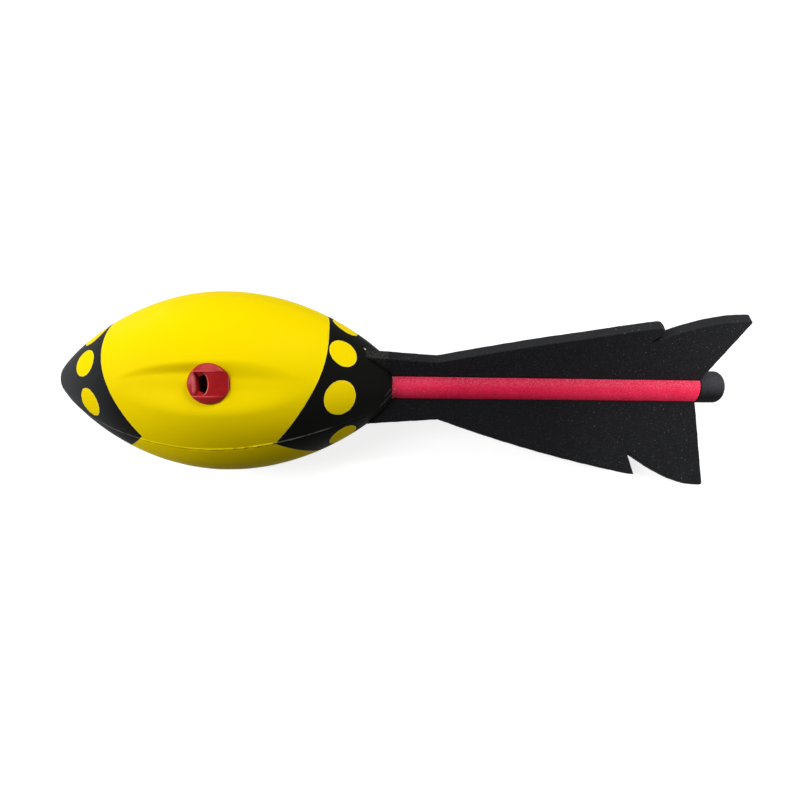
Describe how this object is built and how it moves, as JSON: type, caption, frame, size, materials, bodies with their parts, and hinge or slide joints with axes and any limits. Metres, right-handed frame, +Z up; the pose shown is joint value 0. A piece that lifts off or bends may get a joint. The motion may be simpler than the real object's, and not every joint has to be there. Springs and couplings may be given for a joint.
{
  "type": "vortex throwing toy",
  "caption": "Whistling foam throwing toy: a spindle-shaped foam head, a round foam stem and flat notched tail fins.",
  "frame": {"origin": "on the resting surface, under the middle of the toy's box, as it lies on its belly and two fin tips", "axes": "+X from the nose to the tail along the toy's length, which slopes down 4 degrees towards the tail; +Y across; +Z up, along the upright fin"},
  "size_m": [0.325, 0.0884, 0.0852],
  "materials": {
    "yellow_foam": "satin",
    "black_foam": "matte",
    "red_foam": "matte",
    "red_plastic": "gloss",
    "core_plastic": "satin"
  },
  "bodies": {
    "root": {"foam_head": "yellow_foam", "whistle_cap_1": "red_plastic", "whistle_cap_2": "red_plastic", "whistle_cap_3": "red_plastic", "whistle_cup_1": "red_plastic", "whistle_cup_2": "red_plastic", "whistle_cup_3": "red_plastic", "stem_tube": "red_foam", "stem_core": "core_plastic", "stem_tip": "black_foam", "fin_1": "black_foam", "fin_2": "black_foam", "fin_3": "black_foam"}
  },
  "joints": []
}
